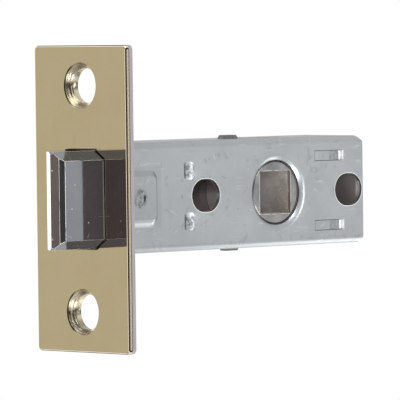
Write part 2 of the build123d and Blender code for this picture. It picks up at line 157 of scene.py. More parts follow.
# %% Close the wire's ends and lay the coil along the case
SPRING_SMOOTH = math.radians(40)
bpy.ops.object.mode_set(mode="EDIT")
bpy.ops.mesh.select_all(action="SELECT")
bpy.ops.mesh.fill_holes(sides=0)
bpy.ops.mesh.select_all(action="SELECT")
bpy.ops.mesh.normals_make_consistent(inside=False)
bpy.ops.object.mode_set(mode="OBJECT")
spring.rotation_euler = (math.radians(-90), 0, 0)
spring.location = (0, spring_low[1] + WIRE_R, 0)
bpy.ops.object.transform_apply(location=True, rotation=True, scale=True)
bpy.ops.object.shade_smooth_by_angle(angle=SPRING_SMOOTH)
print("closed spring: %d faces, %.1f mm long" % (len(spring.data.polygons), coil_length / MM))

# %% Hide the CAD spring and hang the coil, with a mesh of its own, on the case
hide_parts("bolt_spring")
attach(spring, "case")
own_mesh(spring)

# %% [markdown]
# ## Smooth copies of the rigid pieces
# The CAD pieces come in as loose flat triangles, so a polished cone would show facets. Each one that
# the eye meets is copied, its points are merged and its curves are shaded smooth. Weighted normals
# keep the flat faces flat. The bolt also gets a narrow bevel on its sharp edges, and a number on each
# face of that bevel, so that the material can paint the edges pale: partly wear, partly a painted
# highlight.

# %% Copy and smooth the pieces
MERGE_GAP = 0.002 * MM
FLAT_ANGLE = math.radians(0.3)
SHARP_ANGLE = math.radians(28)
SMOOTH_ANGLE = math.radians(32)
EDGE_STEPS = 3
BOLT_EDGE = 0.25 * MM


def break_edges(piece, edge_round):
    """A narrow bevel on a piece's sharp edges, with the attribute edge_wear_and_highlight at 1 on its faces."""
    piece.data.materials.append(bpy.data.materials.new("edge_marker"))
    bevel = piece.modifiers.new("broken_edges", "BEVEL")
    bevel.width = edge_round
    bevel.segments = EDGE_STEPS
    bevel.limit_method = "ANGLE"
    bevel.angle_limit = SHARP_ANGLE
    bevel.material = 1
    bpy.ops.object.modifier_apply(modifier=bevel.name)
    # This attribute marks the bevel faces, which the bolt's material paints pale: partly wear, partly a
    # painted highlight.
    wear = piece.data.attributes.new("edge_wear_and_highlight", "FLOAT", "FACE")
    wear.data.foreach_set("value", [float(face.material_index) for face in piece.data.polygons])


def smooth_copy(node_name, piece_name, body, edge_round=0.0):
    """A smooth-shaded copy of a CAD piece that stands for the piece."""
    bpy.ops.object.select_all(action="DESELECT")
    nodes[node_name].select_set(True)
    bpy.context.view_layer.objects.active = nodes[node_name]
    bpy.ops.object.duplicate()
    piece = bpy.context.object
    piece.name = piece_name
    del piece["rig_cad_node"]
    bpy.ops.mesh.customdata_custom_splitnormals_clear()
    bpy.ops.object.mode_set(mode="EDIT")
    bpy.ops.mesh.select_all(action="SELECT")
    bpy.ops.mesh.remove_doubles(threshold=MERGE_GAP)
    if edge_round:
        bpy.ops.mesh.select_all(action="SELECT")
        bpy.ops.mesh.dissolve_limited(angle_limit=FLAT_ANGLE)
    bpy.ops.object.mode_set(mode="OBJECT")
    if edge_round:
        break_edges(piece, edge_round)
    bpy.ops.object.shade_smooth_by_angle(angle=SMOOTH_ANGLE)
    flat = piece.modifiers.new("flat_faces", "WEIGHTED_NORMAL")
    flat.keep_sharp = True
    bpy.ops.object.modifier_apply(modifier=flat.name)
    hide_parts(node_name)
    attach(piece, body)
    print("%s: %d faces" % (piece_name, len(piece.data.polygons)))
    return piece


face_plate = smooth_copy("outer_forend", "face_plate", "case")
back_plate = smooth_copy("inner_forend", "back_plate", "case")
case_body = smooth_copy("case_channel", "case_body", "case")
case_lid = smooth_copy("case_cover", "case_lid", "case")
bolt_head = smooth_copy("latch_bolt", "bolt_head", "bolt", BOLT_EDGE)
handle_hub = smooth_copy("follower", "handle_hub", "follower")

# %% [markdown]
# ## The bolt's bevel
# The curved bevel rides over the strike plate each time the door shuts, which rubs its nickel bright;
# its pale colour is partly that wear and partly a painted highlight.
# It could be a piece of its own, but one number on each face is enough for the material to find it.

# %% Mark the bevel
LEFTMOST_X, FOREMOST_Y, UPRIGHT_Z = -0.4, -0.7, 0.1
bevel_faces = [
    float(face.normal.x < LEFTMOST_X and face.normal.y < FOREMOST_Y and abs(face.normal.z) < UPRIGHT_Z)
    for face in bolt_head.data.polygons
]
bolt_head.data.attributes.new("strike_rub_and_highlight", "FLOAT", "FACE").data.foreach_set("value", bevel_faces)
print("faces of the bevel:", int(sum(bevel_faces)))

# %% [markdown]
# ## Small nodes with plain names
# A material is a net of nodes, and wiring each one by hand hides what it is for. These helpers add
# one or two nodes and give back the socket that comes out, so that a finish reads like a recipe.

# %% Helpers for numbers
def maths(tree, operation, first, second=None):
    """A Math node on sockets or plain numbers."""
    node = tree.nodes.new("ShaderNodeMath")
    node.operation = operation
    for place, value in enumerate((first, second)):
        if value is None:
            continue
        if isinstance(value, (int, float)):
            node.inputs[place].default_value = value
        else:
            tree.links.new(value, node.inputs[place])
    return node.outputs[0]


def times(tree, first, *others):
    """The product of two or more values."""
    for other in others:
        first = maths(tree, "MULTIPLY", first, other)
    return first


def plus(tree, first, *others):
    """The sum of two or more values."""
    for other in others:
        first = maths(tree, "ADD", first, other)
    return first


def most(tree, first, *others):
    """The largest of two or more values."""
    for other in others:
        first = maths(tree, "MAXIMUM", first, other)
    return first


def minus(tree, first, second):
    """The difference of two values."""
    return maths(tree, "SUBTRACT", first, second)


def size_of(tree, value):
    """A value without its sign."""
    return maths(tree, "ABSOLUTE", value)


def distance(tree, first, second):
    """The long side of a right-angled triangle: how far a point is from an axis."""
    return maths(tree, "SQRT", plus(tree, times(tree, first, first), times(tree, second, second)))


print("helpers for numbers: maths, times, plus, most, minus, size_of, distance")


# %% Helpers for masks and colours
def ramp(tree, source, low, high):
    """A smooth step of a value, from 0 at one limit to 1 at the other."""
    step = tree.nodes.new("ShaderNodeMapRange")
    step.interpolation_type = "SMOOTHSTEP"
    step.inputs["From Min"].default_value = low
    step.inputs["From Max"].default_value = high
    tree.links.new(source, step.inputs["Value"])
    return step.outputs["Result"]


def beyond(tree, value, limit, soft):
    """1 where the size of a value is over a limit, with a soft edge."""
    return ramp(tree, size_of(tree, value), limit - soft, limit + soft)


def blend(tree, mask, first, second):
    """A colour between two colours, each a socket or an RGB tuple."""
    node = tree.nodes.new("ShaderNodeMix")
    node.data_type = "RGBA"
    tree.links.new(mask, node.inputs["Factor"])
    for name, value in (("A", first), ("B", second)):
        socket = [s for s in node.inputs if s.name == name and s.type == "RGBA"][0]
        if isinstance(value, tuple):
            socket.default_value = (*value, 1.0)
        else:
            tree.links.new(value, socket)
    return [s for s in node.outputs if s.type == "RGBA"][0]


def paint(tree, colour, mask, tint, strength=1.0):
    """A colour with a tint laid over it where a mask says so, fully or at a strength."""
    if strength != 1.0:
        mask = times(tree, mask, strength)
    return blend(tree, mask, colour, tint)


def noise(tree, vector, scale, detail, rough=0.55):
    """A noise value on a coordinate."""
    node = tree.nodes.new("ShaderNodeTexNoise")
    node.inputs["Scale"].default_value = scale
    node.inputs["Detail"].default_value = detail
    node.inputs["Roughness"].default_value = rough
    tree.links.new(vector, node.inputs["Vector"])
    return node.outputs["Fac"]


def stretched(tree, vector, scale):
    """A coordinate scaled along its three axes."""
    node = tree.nodes.new("ShaderNodeVectorMath")
    node.operation = "MULTIPLY"
    node.inputs[1].default_value = scale
    tree.links.new(vector, node.inputs[0])
    return node.outputs[0]


print("helpers for masks and colours: ramp, beyond, blend, paint, noise, stretched")

# %% [markdown]
# ## Shared surface effects
# Every metal here has small marks: rolling scuffs on the zinc, hairlines on the polish, nicks from
# the box it was packed in, tiny pits. Each effect is a node group with its own inputs, so one recipe
# serves many finishes. The groups give only colours, masks and heights; the shader stays in each
# material.

# %% Helper for node groups
VECTOR, NUMBER, COLOUR = "NodeSocketVector", "NodeSocketFloat", "NodeSocketColor"


def new_group(name, inputs, outputs):
    """An empty shader node group, the values given to it and the sockets for its result."""
    group = bpy.data.node_groups.new(name, "ShaderNodeTree")
    for label, kind, value in inputs:
        socket = group.interface.new_socket(name=label, in_out="INPUT", socket_type=kind)
        if value is not None:
            socket.default_value = value
    for label, kind in outputs:
        group.interface.new_socket(name=label, in_out="OUTPUT", socket_type=kind)
    return group, group.nodes.new("NodeGroupInput").outputs, group.nodes.new("NodeGroupOutput").inputs


print("kinds of socket:", VECTOR, NUMBER, COLOUR)

# %% Scuffs that run along the sheet
SCUFF_STRETCH = (900, 160, 2600)
SCUFF_LINES, SCUFF_PATCHES = (0.58, 0.72), (0.5, 0.68)
scuffs, given, result = new_group(
    "scuffs",
    [("Vector", VECTOR, None), ("Amount", NUMBER, 0.5)],
    [("Mask", NUMBER), ("Height", NUMBER)],
)
streaks = noise(scuffs, stretched(scuffs, given["Vector"], SCUFF_STRETCH), scale=1.0, detail=3.0)
patches = noise(scuffs, given["Vector"], scale=130, detail=2.0)
lines = ramp(scuffs, streaks, *SCUFF_LINES)
scuffed = times(scuffs, lines, ramp(scuffs, patches, *SCUFF_PATCHES), given["Amount"])
scuffs.links.new(scuffed, result["Mask"])
scuffs.links.new(times(scuffs, streaks, given["Amount"]), result["Height"])
print("effect:", scuffs.name)

# %% Mottle, a soft cloud between two tones
BROAD_SHARE, FINE_SHARE = 0.75, 0.25
SOFT_CLOUD = (0.35, 0.65)
mottle, given, result = new_group(
    "mottle",
    [("Vector", VECTOR, None), ("Light", COLOUR, None), ("Dark", COLOUR, None)],
    [("Color", COLOUR), ("Cloud", NUMBER)],
)
broad = times(mottle, noise(mottle, given["Vector"], scale=90, detail=3.0), BROAD_SHARE)
fine = times(mottle, noise(mottle, given["Vector"], scale=900, detail=2.0), FINE_SHARE)
cloud = ramp(mottle, plus(mottle, broad, fine), *SOFT_CLOUD)
mottle.links.new(blend(mottle, cloud, given["Dark"], given["Light"]), result["Color"])
mottle.links.new(cloud, result["Cloud"])
print("effect:", mottle.name)

# %% Pits, one in some of the cells of a Voronoi pattern
SMALLEST_PIT = 0.5
PIT_EDGE = (1.0, 0.5)
pits, given, result = new_group(
    "pits",
    [("Vector", VECTOR, None), ("Scale", NUMBER, 300.0), ("Share", NUMBER, 0.1), ("Size", NUMBER, 0.1)],
    [("Mask", NUMBER)],
)
cells = pits.nodes.new("ShaderNodeTexVoronoi")
pits.links.new(given["Vector"], cells.inputs["Vector"])
pits.links.new(given["Scale"], cells.inputs["Scale"])
chance = pits.nodes.new("ShaderNodeSeparateColor")
pits.links.new(cells.outputs["Color"], chance.inputs["Color"])
picked = maths(pits, "LESS_THAN", chance.outputs["Red"], given["Share"])
pit_r = times(pits, given["Size"], plus(pits, chance.outputs["Green"], SMALLEST_PIT))
in_pit = ramp(pits, maths(pits, "DIVIDE", cells.outputs["Distance"], pit_r), *PIT_EDGE)
pits.links.new(times(pits, picked, in_pit), result["Mask"])
print("effect:", pits.name)

# %% Short nicks: a coordinate turned about the middle of each cell
FULL_TURN = 6.2832
nicks, given, result = new_group(
    "nicks",
    [("Vector", VECTOR, None), ("Scale", NUMBER, 300.0), ("Share", NUMBER, 0.3), ("Width", NUMBER, 0.03)],
    [("Mask", NUMBER)],
)
grid = nicks.nodes.new("ShaderNodeVectorMath")
grid.operation = "SCALE"
nicks.links.new(given["Vector"], grid.inputs[0])
nicks.links.new(given["Scale"], grid.inputs["Scale"])
cells = nicks.nodes.new("ShaderNodeTexVoronoi")
cells.inputs["Scale"].default_value = 1.0
nicks.links.new(grid.outputs[0], cells.inputs["Vector"])
from_cell = nicks.nodes.new("ShaderNodeVectorMath")
from_cell.operation = "SUBTRACT"
nicks.links.new(grid.outputs[0], from_cell.inputs[0])
nicks.links.new(cells.outputs["Position"], from_cell.inputs[1])
chance = nicks.nodes.new("ShaderNodeSeparateColor")
nicks.links.new(cells.outputs["Color"], chance.inputs["Color"])
turned = nicks.nodes.new("ShaderNodeVectorRotate")
turned.rotation_type = "X_AXIS"
nicks.links.new(from_cell.outputs[0], turned.inputs["Vector"])
nicks.links.new(times(nicks, chance.outputs["Red"], FULL_TURN), turned.inputs["Angle"])
in_nick = nicks.nodes.new("ShaderNodeSeparateXYZ")
nicks.links.new(turned.outputs[0], in_nick.inputs[0])
print("effect begun:", nicks.name)

# %% Short nicks: a thin bowed line in some of the cells
STRAIGHT, MOST_BEND = 0.5, 1.6
SHORTEST_NICK, NICK_SPREAD = 0.12, 0.25
NICK_EDGE, NICK_END = (1.0, 0.4), (1.0, 0.6)
lengthwise, crosswise = in_nick.outputs["Y"], in_nick.outputs["Z"]
bend = times(nicks, minus(nicks, chance.outputs["Green"], STRAIGHT), MOST_BEND)
bow = times(nicks, times(nicks, lengthwise, lengthwise), bend)
off_line = size_of(nicks, plus(nicks, crosswise, bow))
thin = ramp(nicks, maths(nicks, "DIVIDE", off_line, given["Width"]), *NICK_EDGE)
reach = plus(nicks, times(nicks, chance.outputs["Green"], NICK_SPREAD), SHORTEST_NICK)
short = ramp(nicks, maths(nicks, "DIVIDE", size_of(nicks, lengthwise), reach), *NICK_END)
kept = maths(nicks, "LESS_THAN", chance.outputs["Blue"], given["Share"])
nicks.links.new(times(nicks, thin, short, kept), result["Mask"])
print("effect:", nicks.name)

# %% [markdown]
# ## Starting a finish
# Each finish begins the same way: a Principled shader, the piece's own Object coordinates, and the
# three numbers of a coordinate apart, so that a mask can follow the piece's edges or holes.

# %% Helpers for finishes
def new_finish(name, metallic=1.0, roughness=0.3):
    """A material with its tree, shader, Object coordinate and that coordinate's X, Y and Z."""
    material = bpy.data.materials.new(name)
    material.use_nodes = True
    tree = material.node_tree
    tree.nodes.clear()
    out = tree.nodes.new("ShaderNodeOutputMaterial")
    shader = tree.nodes.new("ShaderNodeBsdfPrincipled")
    shader.inputs["Metallic"].default_value = metallic
    shader.inputs["Roughness"].default_value = roughness
    tree.links.new(shader.outputs["BSDF"], out.inputs["Surface"])
    place = tree.nodes.new("ShaderNodeTexCoord").outputs["Object"]
    split = tree.nodes.new("ShaderNodeSeparateXYZ")
    tree.links.new(place, split.inputs[0])
    return material, tree, shader, place, split.outputs


def use_group(tree, group, **values):
    """A shared effect placed in a material, with its inputs set or linked."""
    node = tree.nodes.new("ShaderNodeGroup")
    node.node_tree = group
    for name, value in values.items():
        if isinstance(value, (int, float)):
            node.inputs[name].default_value = value
        elif isinstance(value, tuple):
            node.inputs[name].default_value = (*value, 1.0)
        else:
            tree.links.new(value, node.inputs[name])
    return node.outputs


def face_number(tree, name):
    """The number that an attribute holds on each face."""
    node = tree.nodes.new("ShaderNodeAttribute")
    node.attribute_name = name
    return node.outputs["Fac"]


def bump(tree, shader, height, strength, depth):
    """A Bump node on the shader's normal."""
    node = tree.nodes.new("ShaderNodeBump")
    node.inputs["Strength"].default_value = strength
    node.inputs["Distance"].default_value = depth
    tree.links.new(height, node.inputs["Height"])
    tree.links.new(node.outputs["Normal"], shader.inputs["Normal"])


print("helpers for finishes: new_finish, use_group, face_number, bump")

# %% [markdown]
# ## Rims of the two plates
# Both plates are punched from sheet, so their rims look different from their faces. The rims could be
# picked face by face. A mask that measures how far a point lies from the sides and ends is simpler,
# and it can also draw a line on the face, close to the rim.

# %% Mask for the rims
RIM_SOFT = 0.01 * MM
EDGE_INSET = 0.02 * MM
plate_low, plate_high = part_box("outer_forend")
plate_w = plate_high[0] - plate_low[0]
plate_h = plate_high[2] - plate_low[2]
plates_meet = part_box("inner_forend")[0][1]


def near_rim(tree, xyz, inset):
    """1 on the part of a plate that lies within an inset from its sides and ends."""
    at_side = beyond(tree, xyz["X"], plate_w / 2 - inset, RIM_SOFT)
    at_end = beyond(tree, xyz["Z"], plate_h / 2 - inset, RIM_SOFT)
    return most(tree, at_side, at_end)


print("plates: %.0f x %.0f mm, the joint at %.1f mm" % (plate_w / MM, plate_h / MM, plates_meet / MM))

# %% [markdown]
# ## Polished brass plate
# The plate is brass-plated and polished to a mirror: it shows the bolt in it. Where the face rolls
# over into the edge it carries a painted highlight and a painted dark reflection, and the edge itself
# is duller and grainy.
# A few dark pits and very faint hairlines keep it from looking painted.

# %% Brass face and edges
BRASS_LIGHT, BRASS_DARK = (0.447, 0.367, 0.220), (0.429, 0.350, 0.206)
EDGE_BROWN, EDGE_PALE = (0.34, 0.30, 0.215), (0.54, 0.50, 0.38)
EDGE_START = (0.30 * MM, 0.38 * MM)
JOINT_SHADE, JOINT_FAINT, JOINT_FULL = (0.10, 0.08, 0.06), 0.16 * MM, 0.08 * MM
ROLLED_EDGE_HIGHLIGHT, ROLLED_INSET = (0.92, 0.84, 0.70), 0.27 * MM
EDGE_DARK_REFLECTION, DARK_REFLECTION_INSET = (0.04, 0.026, 0.016), 0.155 * MM
BRASS_GLOSS = 0.06

brass, tree, shader, place, xyz = new_finish("polished_brass", roughness=BRASS_GLOSS)
tone = use_group(tree, mottle, Vector=place, Light=BRASS_LIGHT, Dark=BRASS_DARK)
# Painted highlight on a band along the rim, and a painted dark reflection on the thinner band outside it.
colour = paint(tree, tone["Color"], near_rim(tree, xyz, ROLLED_INSET), ROLLED_EDGE_HIGHLIGHT)
colour = paint(tree, colour, near_rim(tree, xyz, DARK_REFLECTION_INSET), EDGE_DARK_REFLECTION)
edge = times(tree, near_rim(tree, xyz, EDGE_INSET), ramp(tree, xyz["Y"], *EDGE_START))
grain = ramp(tree, noise(tree, place, scale=4000, detail=2.0), *SOFT_CLOUD)
at_joint = ramp(tree, xyz["Y"], plates_meet - JOINT_FAINT, plates_meet - JOINT_FULL)
edge_tone = paint(tree, blend(tree, grain, EDGE_BROWN, EDGE_PALE), at_joint, JOINT_SHADE)
colour = paint(tree, colour, edge, edge_tone)
print("begun:", brass.name)

# %% Painted highlight beside the bolt's opening, and pits
OPENING_HIGHLIGHT = (0.95, 0.84, 0.54)
OPENING_OUT, OPENING_CORNER = 0.45 * MM, 1.9 * MM
PIT_BROWN = (0.16, 0.12, 0.07)
bolt_x, bolt_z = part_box("latch_bolt")[1][0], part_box("latch_bolt")[1][2]
beside = minus(tree, 1.0, beyond(tree, xyz["X"], bolt_x + OPENING_OUT, RIM_SOFT))
level = minus(tree, 1.0, beyond(tree, xyz["Z"], bolt_z - OPENING_CORNER, RIM_SOFT))
colour = paint(tree, colour, times(tree, beside, level), OPENING_HIGHLIGHT)
specks = use_group(tree, pits, Vector=place, Scale=260.0, Share=0.05, Size=0.045)
colour = paint(tree, colour, specks["Mask"], PIT_BROWN)
print("opening: %.1f mm wide, %.1f mm high" % (2 * bolt_x / MM, 2 * bolt_z / MM))

# %% [markdown]
# ## Countersunk screw holes
# The cones were pressed and turned without polishing, so they are paler and rougher than the face,
# with fine rings and a torn inner rim. On their left side they carry a painted dark reflection in
# patches and a painted dark line inside the rim. Distance from the screw's axis tells the cone from
# the face, and the depth leaves out the collar behind it.

# %% Screw cones
SCREW_Z = 21.0 * MM
CONE_BRASS, CONE_RIM = (0.60, 0.54, 0.41), (4.37 * MM, 4.33 * MM)
COLLAR_DEPTH, COLLAR_INNER = (0.85 * MM, 0.90 * MM), (3.5 * MM, 3.7 * MM)
above_screw = minus(tree, size_of(tree, xyz["Z"]), SCREW_Z)
from_screw = distance(tree, xyz["X"], above_screw)
collar = times(tree, ramp(tree, xyz["Y"], *COLLAR_DEPTH), ramp(tree, from_screw, *COLLAR_INNER))
in_cone = minus(tree, ramp(tree, from_screw, *CONE_RIM), collar)
colour = paint(tree, colour, in_cone, CONE_BRASS, strength=0.75)
print("screw holes %.0f mm apart" % (2 * SCREW_Z / MM))

# %% Painted dark reflection, torn inner rim and painted dark lip of the cones
CONE_DARK_REFLECTION, REFLECTION_PATCHES = (0.12, 0.10, 0.075), (0.35, 0.55)
REFLECTION_LEFT, REFLECTION_LEVEL = (-2.8 * MM, -3.3 * MM), (1.1 * MM, 0.3 * MM)
TORN_BRASS, TORN_PATCHES, TORN_RING = (0.80, 0.74, 0.58), (0.46, 0.40), (3.7 * MM, 3.4 * MM)
LIP_DARK_REFLECTION, LIP_LEFT, LIP_RING = (0.05, 0.035, 0.02), (-1.2 * MM, -3.0 * MM), (4.12 * MM, 4.20 * MM)
patchy = noise(tree, place, scale=900, detail=3.0, rough=0.6)
# A painted dark reflection in patches on the left side of each cone.
cone_reflection = times(
    tree,
    ramp(tree, xyz["X"], *REFLECTION_LEFT), ramp(tree, size_of(tree, above_screw), *REFLECTION_LEVEL),
    in_cone, ramp(tree, patchy, *REFLECTION_PATCHES),
)
colour = paint(tree, colour, cone_reflection, CONE_DARK_REFLECTION)
torn_rim = times(tree, ramp(tree, from_screw, *TORN_RING), ramp(tree, patchy, *TORN_PATCHES))
colour = paint(tree, colour, torn_rim, TORN_BRASS)
# A painted dark reflection as a line inside the rim, on the cone's left side.
lip_reflection = times(tree, in_cone, ramp(tree, from_screw, *LIP_RING), ramp(tree, xyz["X"], *LIP_LEFT))
tree.links.new(paint(tree, colour, lip_reflection, LIP_DARK_REFLECTION), shader.inputs["Base Color"])
print("cones coloured on", brass.name)

# %% Brass polish and turned rings
RING_RATE, RING_HEIGHT = 14000.0, 0.4
HAIR_DULL, EDGE_DULL, CONE_DULL = 0.12, 0.25, 0.26
hairs = use_group(tree, scuffs, Vector=place, Amount=0.4)
dull = plus(
    tree,
    times(tree, hairs["Mask"], HAIR_DULL), times(tree, edge, EDGE_DULL), times(tree, in_cone, CONE_DULL),
    BRASS_GLOSS,
)
tree.links.new(dull, shader.inputs["Roughness"])
rings = maths(tree, "SINE", times(tree, xyz["Y"], RING_RATE))
turned_rings = times(tree, rings, times(tree, in_cone, RING_HEIGHT))
bump(tree, shader, minus(tree, turned_rings, specks["Mask"]), strength=0.3, depth=0.05 * MM)
print("finish:", brass.name)

# %% [markdown]
# ## Zinc-plated steel
# The case and the inner plate are cold-rolled steel with a bright zinc coat: pale, slightly blue,
# softly mottled, with scuffs that run along the sheet and small dark knocks. The coat is one function,
# because three materials begin with it.

# %% Zinc coat
ZINC_LIGHT, ZINC_DARK = (0.390, 0.409, 0.421), (0.361, 0.380, 0.391)
SCUFF_PALE, NICK_DARK, NICK_AND_HIGHLIGHT_PALE = (0.62, 0.64, 0.65), (0.22, 0.24, 0.26), (0.72, 0.73, 0.74)
KNOCK_DARK, SMEAR_DARK, SMEARS = (0.24, 0.26, 0.27), (0.17, 0.18, 0.19), (0.60, 0.70)
ZINC_GLOSS, ZINC_CLOUD, NICK_DEPTH = 0.28, 0.05, 1.5
ZINC_BUMP, ZINC_RELIEF = 0.25, 0.02 * MM


def zinc_finish(name):
    """The zinc coat: its tree, shader, coordinates, colour and relief, for a piece to add to."""
    material, tree, shader, place, xyz = new_finish(name)
    tone = use_group(tree, mottle, Vector=place, Light=ZINC_LIGHT, Dark=ZINC_DARK)
    rubbed = use_group(tree, scuffs, Vector=place, Amount=0.8)
    colour = paint(tree, tone["Color"], rubbed["Mask"], SCUFF_PALE)
    dark_nicks = use_group(tree, nicks, Vector=place, Scale=330.0, Share=0.22, Width=0.035)
    colour = paint(tree, colour, dark_nicks["Mask"], NICK_DARK, strength=0.6)
    pale_nicks = use_group(tree, nicks, Vector=place, Scale=300.0, Share=0.16, Width=0.026)
    colour = paint(tree, colour, pale_nicks["Mask"], NICK_AND_HIGHLIGHT_PALE, strength=0.45)
    knocks = use_group(tree, pits, Vector=place, Scale=420.0, Share=0.06, Size=0.1)
    colour = paint(tree, colour, knocks["Mask"], KNOCK_DARK, strength=0.7)
    smear = ramp(tree, noise(tree, place, scale=330, detail=2.0), *SMEARS)
    broken = ramp(tree, noise(tree, place, scale=1500, detail=1.0), *SOFT_CLOUD)
    colour = paint(tree, colour, times(tree, smear, broken), SMEAR_DARK, strength=0.3)
    gloss = plus(tree, times(tree, tone["Cloud"], ZINC_CLOUD), ZINC_GLOSS)
    tree.links.new(gloss, shader.inputs["Roughness"])
    relief = minus(tree, rubbed["Height"], times(tree, dark_nicks["Mask"], NICK_DEPTH))
    return material, tree, shader, place, xyz, colour, relief


print("zinc coat: roughness %.2f to %.2f" % (ZINC_GLOSS, ZINC_GLOSS + ZINC_CLOUD))

# %% [markdown]
# ## The case's sides
# A press has cut tongues, slots and a dish into each side. Metal that is torn or sheared there is
# rough, and its colour carries painted highlights on its ridges and painted shade in its hollows; a
# painted shadow fills the opening beside each front tongue. Those spots could be painted on a UV map,
# but they lie at known places, so a mask for each one is simpler. The two halves of the case share one
# material, and a step in X makes the lid's grain weaker.

# %% Masks on the case's sides
def side_patch(tree, xyz, patch, soft=0.2 * MM):
    """1 in a patch of the case's sides, given by two depths and two heights, above and below alike."""
    y_low, y_high, z_low, z_high = patch
    starts = ramp(tree, xyz["Y"], y_low - soft, y_low + soft)
    ends = ramp(tree, xyz["Y"], y_high + soft, y_high - soft)
    height = size_of(tree, xyz["Z"])
    over = ramp(tree, height, z_low - soft, z_low + soft)
    under = ramp(tree, height, z_high + soft, z_high - soft)
    return times(tree, times(tree, starts, ends), times(tree, over, under))


def from_slot(tree, xyz, centre, half_run=0.0):
    """Distance of a point of the case's side from the middle line of a round-ended slot."""
    run = size_of(tree, minus(tree, xyz["Y"], centre))
    past = most(tree, minus(tree, run, half_run), 0.0)
    return distance(tree, past, xyz["Z"])


hub_y = joints["follower_turn"]["pos_m"][1]
print("hub %.0f mm behind the face" % (hub_y / MM))

# %% Torn metal of the tongues and the weld spot
TONGUE_LOW, TONGUE_HIGH = 5.7 * MM, 7.6 * MM
FRONT_TONGUE = (19.9 * MM, 22.1 * MM, 3.6 * MM, 6.0 * MM)
FRONT_CUT_SHADOW = (19.4 * MM, 20.4 * MM, 3.4 * MM, 6.2 * MM)
REAR_TONGUE = (57.8 * MM, 61.6 * MM, TONGUE_LOW, TONGUE_HIGH)
WELD_Y, WELD_EDGE = 7.3 * MM, (2.1 * MM, 1.4 * MM)
CUT_SHADE, TORN_HIGHLIGHT, TORN_SPOTS = (0.05, 0.053, 0.057), (0.33, 0.34, 0.35), (0.38, 0.60)
REAR_SHARE, LID_GRAIN, MORE_ON_BODY, LID_TO_BODY = 0.45, 0.30, 0.55, (-1 * MM, 1 * MM)

zinc, tree, shader, place, xyz, colour, relief = zinc_finish("zinc_case")
front_tongue = side_patch(tree, xyz, FRONT_TONGUE, soft=0.4 * MM)
rear_tongue = side_patch(tree, xyz, REAR_TONGUE)
weld = ramp(tree, from_slot(tree, xyz, WELD_Y), *WELD_EDGE)
pressed = most(tree, weld, front_tongue, times(tree, rear_tongue, REAR_SHARE))
torn = noise(tree, place, scale=1450, detail=4.0, rough=0.65)
# Painted light on the torn metal: pale on the ridges of the relief and dark in its hollows.
torn_light_and_shade = blend(tree, ramp(tree, torn, *TORN_SPOTS), CUT_SHADE, TORN_HIGHLIGHT)
grainy = plus(tree, times(tree, ramp(tree, xyz["X"], *LID_TO_BODY), MORE_ON_BODY), LID_GRAIN)
colour = paint(tree, colour, times(tree, pressed, grainy), torn_light_and_shade)
# Painted shadow in the opening beside each front tongue.
colour = paint(tree, colour, side_patch(tree, xyz, FRONT_CUT_SHADOW), CUT_SHADE, strength=0.9)
print("begun:", zinc.name)

# %% Pad, painted highlight at its foot, painted shade towards the front, and scored line
PAD, PAD_GREY = (0.0, 13.4 * MM, -1.0 * MM, 5.7 * MM), (0.24, 0.25, 0.26)
FOOT_TOP, FOOT_LOW, FOOT_END = (-4.4 * MM, -4.8 * MM), (-5.7 * MM, -5.2 * MM), (12.2 * MM, 10.0 * MM)
FRONT_SHADE_RUN = (30 * MM, 12 * MM)
SCORE, SCORE_DARK = (53.86 * MM, 53.96 * MM, TONGUE_LOW, TONGUE_HIGH), (0.12, 0.125, 0.13)
pad = side_patch(tree, xyz, PAD, soft=0.3 * MM)
colour = paint(tree, colour, pad, PAD_GREY, strength=0.25)
foot_level = times(tree, ramp(tree, xyz["Z"], *FOOT_TOP), ramp(tree, xyz["Z"], *FOOT_LOW))
foot = times(tree, foot_level, ramp(tree, xyz["Y"], *FOOT_END))
# Painted highlight along the foot of the pad's lower slope.
colour = paint(tree, colour, foot, NICK_AND_HIGHLIGHT_PALE, strength=0.7)
# Painted shade: the case gets darker towards the front.
colour = paint(tree, colour, ramp(tree, xyz["Y"], *FRONT_SHADE_RUN), PAD_GREY, strength=0.22)
score = side_patch(tree, xyz, SCORE, soft=0.04 * MM)
colour = paint(tree, colour, score, SCORE_DARK, strength=0.7)
print("pad and scored line added to", zinc.name)

# %% Painted shade in the gap round the hub, and painted highlights on the rims of the punched slots
GAP_SHADE, HUB_GAP = (0.03, 0.028, 0.028), (6.22 * MM, 6.17 * MM)
SLOT_RIM_HIGHLIGHT, RIM_OUTER, RIM_INNER = (0.95, 0.95, 0.96), 0.16 * MM, 0.06 * MM
BOLT_CENTRES, SLOT_R, SLOT_RUN = 38.0 * MM, 3.1 * MM, 0.55 * MM
# Painted shade in the gap round the hub.
hub_gap = ramp(tree, from_slot(tree, xyz, hub_y), *HUB_GAP)
colour = paint(tree, colour, hub_gap, GAP_SHADE)
rims = []
for slot_y in (hub_y - BOLT_CENTRES / 2, hub_y + BOLT_CENTRES / 2):
    from_middle = from_slot(tree, xyz, slot_y, SLOT_RUN)
    rims.append(ramp(tree, from_middle, SLOT_R + RIM_OUTER, SLOT_R + RIM_INNER))
# Painted highlights on the rims of the slots.
colour = paint(tree, colour, most(tree, *rims), SLOT_RIM_HIGHLIGHT, strength=0.8)
print("burnished slots:", len(rims))

# %% [markdown]
# ## Inside the case
# A film of oil has turned the inside brown, and it hides the metal's shine. The brown gets darker towards
# the back.
# The inside faces could have a material of their own. A mask between the walls does it without
# splitting the piece, and it stops short of the case's open end.

